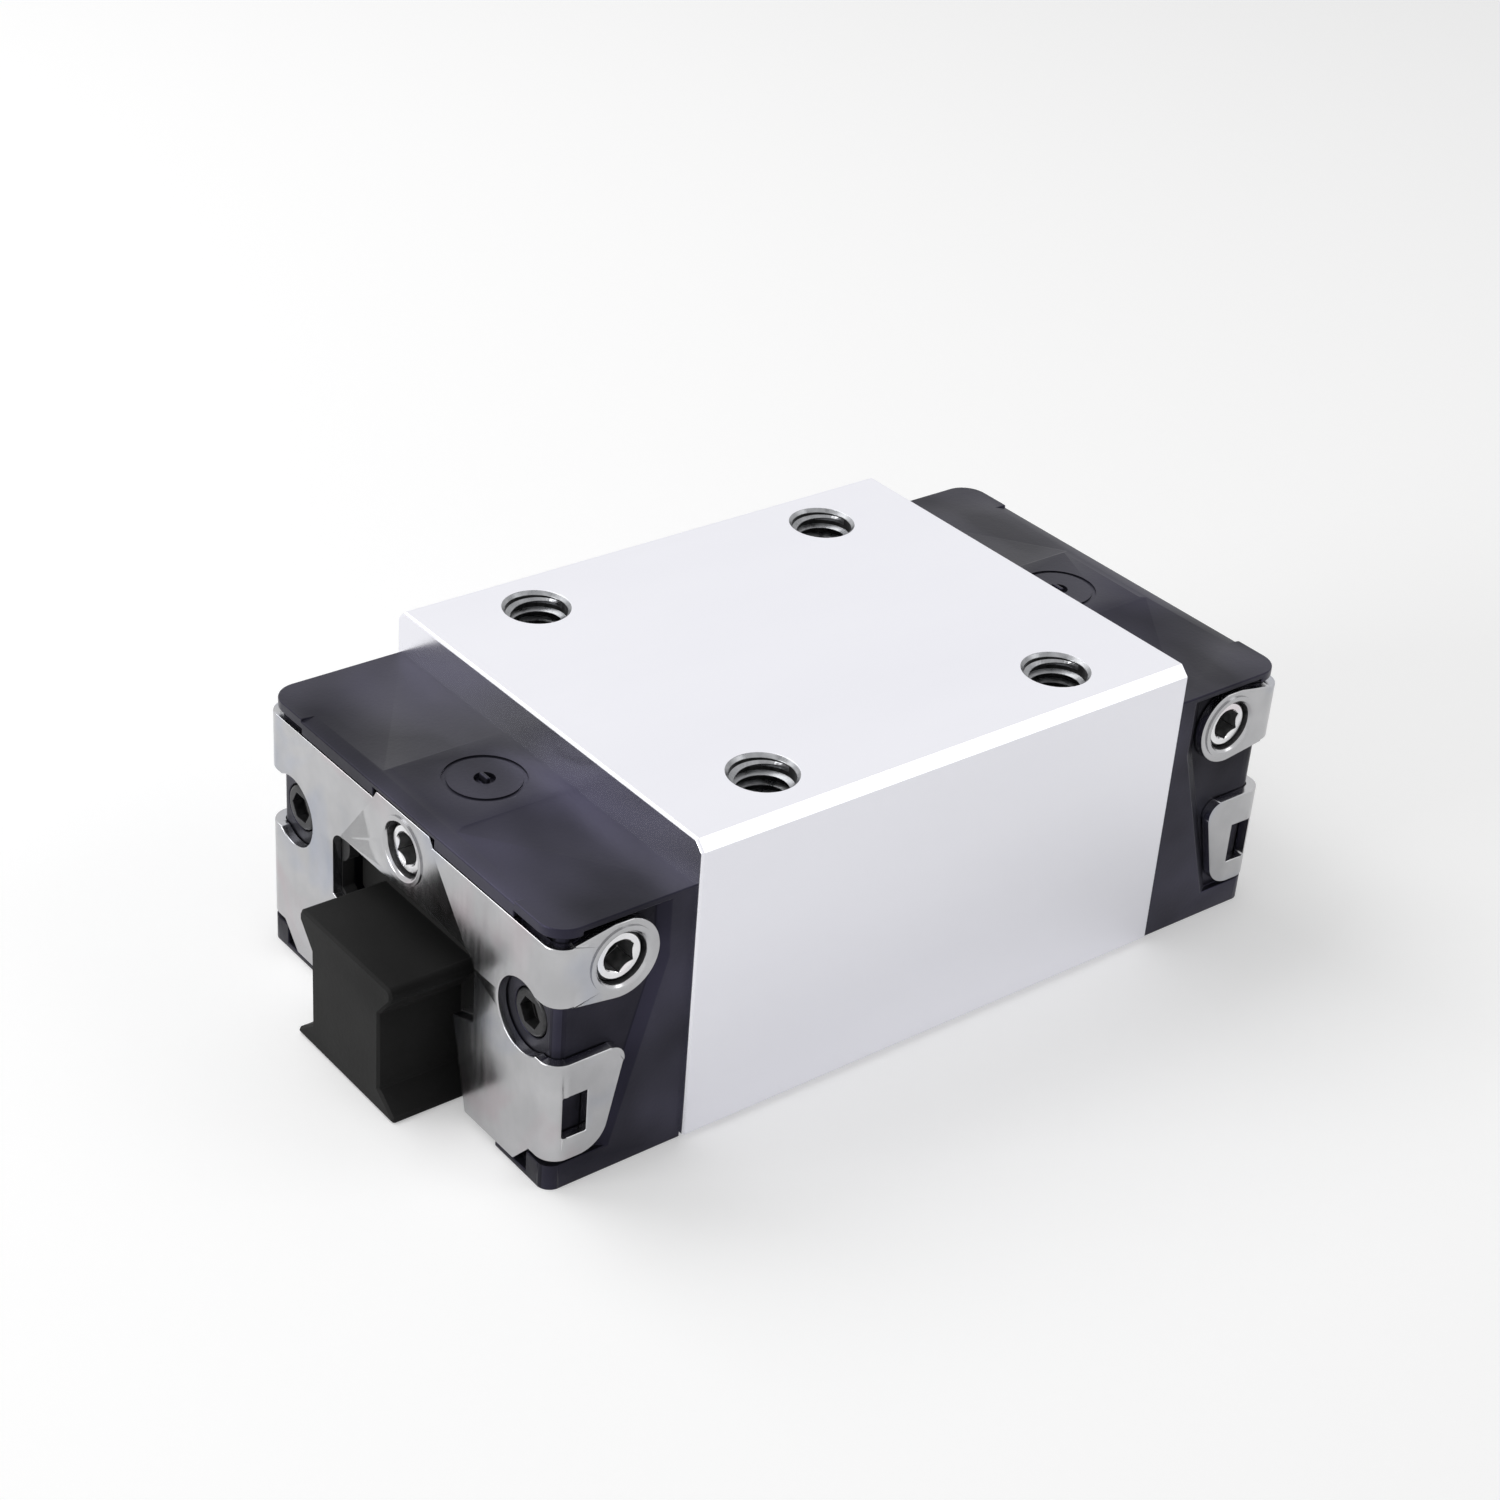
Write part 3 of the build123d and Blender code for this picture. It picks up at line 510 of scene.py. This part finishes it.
# Below this depth the socket gets painted shade; its mouth keeps the screw's own colour
SOCKET_EDGE = 0.3 * MM  # the socket's mouth stays bright to this depth
SOCKET_DEPTH = 3.0 * MM
PORT_BORE_R = 2.6 * MM
CAP_ROOF = 1.6 * MM  # the top of a cap has no recess above this depth
RECESS_INSET_LEAST = 0.4 * MM  # the recess in a cap's side is deeper than this
RECESS_INSET_MOST = 1.4 * MM
RECESS_REACH = 2.5 * MM  # the cap's end lies this near the outer ends of its screws
FACES_IT = 0.9  # a face's normal has at least this much along a direction that it faces
FACES_ACROSS = 0.5  # and less than this along one that it lies beside


def screw_line(node):
    """Middle of a screw, between two opposite corners of its box, and its axis's number."""
    corners = [Vector(corner) for corner in frame["nodes"][node].bound_box]
    across = node.startswith("port_screw") and not node.endswith("centre")
    return (corners[0] + corners[6]) / 2, (1 if across else 0)


def off_line(centre, middle, axis):
    offset = centre - middle
    offset[axis] = 0
    return offset.length


def softened_screw(node, socket_r, wall):
    """A screw with painted shade in its hexagon socket, darker walls and a near-black floor; its
    outer end faces away from the block.
    """
    piece = softened(node, SCREW_EDGE)
    middle, axis = screw_line(node)
    side = math.copysign(1.0, middle[axis])
    outer_end = max(side * corner[axis] for corner in frame["nodes"][node].bound_box)

    def in_socket(centre, normal):
        depth = outer_end - side * centre[axis]
        return off_line(centre, middle, axis) < socket_r and SOCKET_EDGE < depth < SOCKET_DEPTH

    def on_floor(centre, normal):
        return in_socket(centre, normal) and abs(normal[axis]) > FACES_IT

    paint(piece, wall, in_socket)
    paint(piece, SOCKET_FLOOR_PAINTED_SHADE, on_floor)


def softened_cap(end):
    """An end cap with painted shade, a darker plastic, in the recesses that its plate lies in."""
    node = f"end_cap_{end}"
    piece = softened(node, CAP_EDGE, stays_sharp=meets_block)
    side_y, top_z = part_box(node)[1][1:]
    screw = frame["nodes"][f"cap_screw_{end}_left"].bound_box
    outer_x = max(abs(corner[0]) for corner in screw)

    def in_recess(centre, normal):
        if centre.z > top_z - CAP_ROOF:
            return False
        inset = side_y - abs(centre.y)
        in_side = RECESS_INSET_LEAST < inset < RECESS_INSET_MOST
        at_end = abs(centre.x) > outer_x - RECESS_REACH
        return (in_side and abs(normal.y) > FACES_IT) or (at_end and abs(normal.x) > FACES_IT)

    paint(piece, RECESS_PLASTIC_PAINTED_SHADE, in_recess)


def softened_plate(end):
    """An end plate with painted shade, dark steel, on the bores of its three ports."""
    piece = softened(f"end_plate_{end}", PLATE_EDGE)
    lines = [screw_line(f"port_screw_{end}_{place}") for place in ("centre", "left", "right")]

    def in_bore(centre, normal):
        return any(
            off_line(centre, middle, axis) < PORT_BORE_R and abs(normal[axis]) < FACES_ACROSS
            for middle, axis in lines
        )

    paint(piece, HOLE_WALL_PAINTED_SHADE, in_bore)


def dress_nodes():
    for name, obj in frame["nodes"].items():
        give(obj, SLOT_MATERIALS[slot_of_node(name)])


# Threads in the four mounting holes

THREAD_MAJOR_R = 2.99 * MM
THREAD_MINOR_R = 2.5 * MM
THREAD_PITCH = 1.0 * MM
THREAD_DEPTH = 8.7 * MM
THREAD_START = 0.75 * MM
THREAD_ROOT_FLAT = 0.4  # in pitches
THREAD_CREST_FLAT = 0.09  # in pitches
THREAD_STEPS = 48
THREAD_FADE_STEPS = THREAD_STEPS / 3  # the ridge rises and runs out over these
THREAD_LEAST_RISE = 0.02  # of the full height, so that the ridge has a face at each end
HOLE_MOUTH_R = 3.5 * MM
WALL_TILT = 0.3  # the mouth's bevel faces upwards more than this, and the wall less


def thread_mesh(name):
    """Helical ridge on the wall of one hole, its top at the origin, one closed solid."""
    turns = (THREAD_DEPTH - THREAD_START) / THREAD_PITCH
    steps = int(turns * THREAD_STEPS)
    half_root = THREAD_PITCH * (0.5 - THREAD_ROOT_FLAT / 2)
    half_crest = THREAD_PITCH * THREAD_CREST_FLAT / 2
    work = bmesh.new()
    rings = []
    for i in range(steps + 1):
        angle = 2 * math.pi * i / THREAD_STEPS
        drop = THREAD_START + THREAD_PITCH * i / THREAD_STEPS
        fade = min(1.0, i / THREAD_FADE_STEPS, (steps - i) / THREAD_FADE_STEPS)
        rise = max(fade, THREAD_LEAST_RISE)
        crest_r = THREAD_MAJOR_R - (THREAD_MAJOR_R - THREAD_MINOR_R) * rise
        around = Vector((math.cos(angle), math.sin(angle), 0))
        section = (
            (THREAD_MAJOR_R, half_root),
            (crest_r, half_crest),
            (crest_r, -half_crest),
            (THREAD_MAJOR_R, -half_root),
        )
        rings.append(
            [work.verts.new(around * r + UP * (height - drop)) for r, height in section]
        )
    for ring, following in zip(rings, rings[1:]):
        for j in range(len(ring)):
            k = (j + 1) % len(ring)
            work.faces.new((ring[j], ring[k], following[k], following[j]))
    work.faces.new(rings[0][::-1])
    work.faces.new(rings[-1])
    bmesh.ops.recalc_face_normals(work, faces=work.faces)
    mesh = bpy.data.meshes.new(name)
    work.to_mesh(mesh)
    work.free()
    return mesh


def hole_places():
    """The four mounting holes by name, each with the middle of its mouth."""
    mount = next(m for m in frame["record"]["mounts"] if m["name"] == "top_holes")
    spacing_x = mount["dims"]["spacing_x_mm"] * MM
    spacing_y = mount["dims"]["spacing_y_mm"] * MM
    return {
        f"{end}_{side}": Vector((along * spacing_x, across * spacing_y, mount["pos_m"][2]))
        for end, along in (("front", -0.5), ("rear", 0.5))
        for side, across in (("left", 0.5), ("right", -0.5))
    }


def make_body():
    """The steel body with painted shade in its tapped holes: the mouths' bevels darker, the walls
    near black.
    """
    piece = softened("block_body", BODY_EDGE)
    places = hole_places().values()

    def in_mouth(centre, normal):
        return normal.z < FACES_IT and any(
            (centre - place).to_2d().length < HOLE_MOUTH_R for place in places
        )

    def on_wall(centre, normal):
        return in_mouth(centre, normal) and normal.z < WALL_TILT

    paint(piece, THREAD_STEEL_PAINTED_SHADE, in_mouth)
    paint(piece, HOLE_WALL_PAINTED_SHADE, on_wall)


def make_threads():
    for hole, place in hole_places().items():
        name = f"thread_{hole}"
        mesh = thread_mesh(name)
        mesh.transform(Matrix.Translation(place))
        piece = link_mesh(name, mesh)
        give(piece, THREAD_STEEL_PAINTED_SHADE)
        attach(piece, "block")


# Floor, background and light

FLOOR_SIZE = 3.0
FLOOR_DROP = 0.02 * MM
FLOOR_PAPER = 0.8
FLOOR_GLOW = 0.3
WORLD_LIGHT = 0.4
WORLD_SEEN = 1.0

# Each lamp's name, place, the point it faces, width and height, and watts
LAMPS = (
    ("overhead", (-0.15, 0.34, 0.5), (0, 0, 0), (0.4, 0.4), 1.5),
    ("front_left", (-0.6, 0.1, 0.15), (0, 0, 0.015), (0.3, 0.2), 1.7),
    ("right", (0.4, -0.38, 0.47), (0, 0, 0.015), (0.25, 0.25), 0.35),
)


def make_floor():
    mesh = bpy.data.meshes.new("floor")
    half = FLOOR_SIZE / 2
    mesh.from_pydata(
        [(-half, -half, 0), (half, -half, 0), (half, half, 0), (-half, half, 0)],
        [],
        [(0, 1, 2, 3)],
    )
    mesh.transform(Matrix.Translation((0, 0, -FLOOR_DROP)))
    floor = link_mesh("floor", mesh)
    material = bpy.data.materials.new("floor_paper")
    material.use_nodes = True
    nodes = Nodes(material.node_tree)
    paper = nodes.add("ShaderNodeBsdfDiffuse")
    paper.inputs["Color"].default_value = (FLOOR_PAPER, FLOOR_PAPER, FLOOR_PAPER, 1)
    glow = nodes.add("ShaderNodeEmission")
    glow.inputs["Color"].default_value = (*WHITE, 1)
    strength = nodes.combined(nodes.seen_directly(), FLOOR_GLOW, "MULTIPLY")
    nodes.link(strength, glow.inputs["Strength"])
    both = nodes.add("ShaderNodeAddShader")
    nodes.link(paper.outputs["BSDF"], both.inputs[0])
    nodes.link(glow.outputs["Emission"], both.inputs[1])
    output = nodes.add("ShaderNodeOutputMaterial")
    nodes.link(both.outputs["Shader"], output.inputs["Surface"])
    floor.data.materials.append(material)


def make_world():
    world = bpy.data.worlds.new("studio")
    bpy.context.scene.world = world
    world.use_nodes = True
    nodes = Nodes(world.node_tree)
    background = nodes.add("ShaderNodeBackground")
    background.inputs["Color"].default_value = (*WHITE, 1)
    strength = nodes.spread(
        nodes.seen_directly(), source=(0.0, 1.0), target=(WORLD_LIGHT, WORLD_SEEN)
    )
    nodes.link(strength, background.inputs["Strength"])
    output = nodes.add("ShaderNodeOutputWorld")
    nodes.link(background.outputs["Background"], output.inputs["Surface"])


def make_lamp(name, place, aim, size, power):
    data = bpy.data.lights.new(name, "AREA")
    data.shape = "RECTANGLE"
    data.size, data.size_y = size
    data.energy = power
    lamp = bpy.data.objects.new(name, data)
    bpy.context.scene.collection.objects.link(lamp)
    away = (Vector(place) - Vector(aim)).normalized()
    turn = away.to_track_quat("Z", "Y").to_matrix().to_4x4()
    lamp.matrix_world = Matrix.Translation(Vector(place)) @ turn


make_camera()
dress_nodes()
for end in ("front", "rear"):
    softened_cap(end)
    softened_plate(end)
    softened_screw(f"port_screw_{end}_centre", PORT_SOCKET_R, SOCKET_WALL_PAINTED_SHADE)
    for side in ("left", "right"):
        softened_screw(f"port_screw_{end}_{side}", PORT_SOCKET_R, SOCKET_WALL_PAINTED_SHADE)
        softened_screw(f"cap_screw_{end}_{side}", CAP_SOCKET_R, HOLE_WALL_PAINTED_SHADE)
softened("transport_arbor", ARBOR_EDGE)
make_body()
make_threads()
make_floor()
make_world()
for lamp in LAMPS:
    make_lamp(*lamp)
bpy.context.scene.view_settings.view_transform = "Standard"
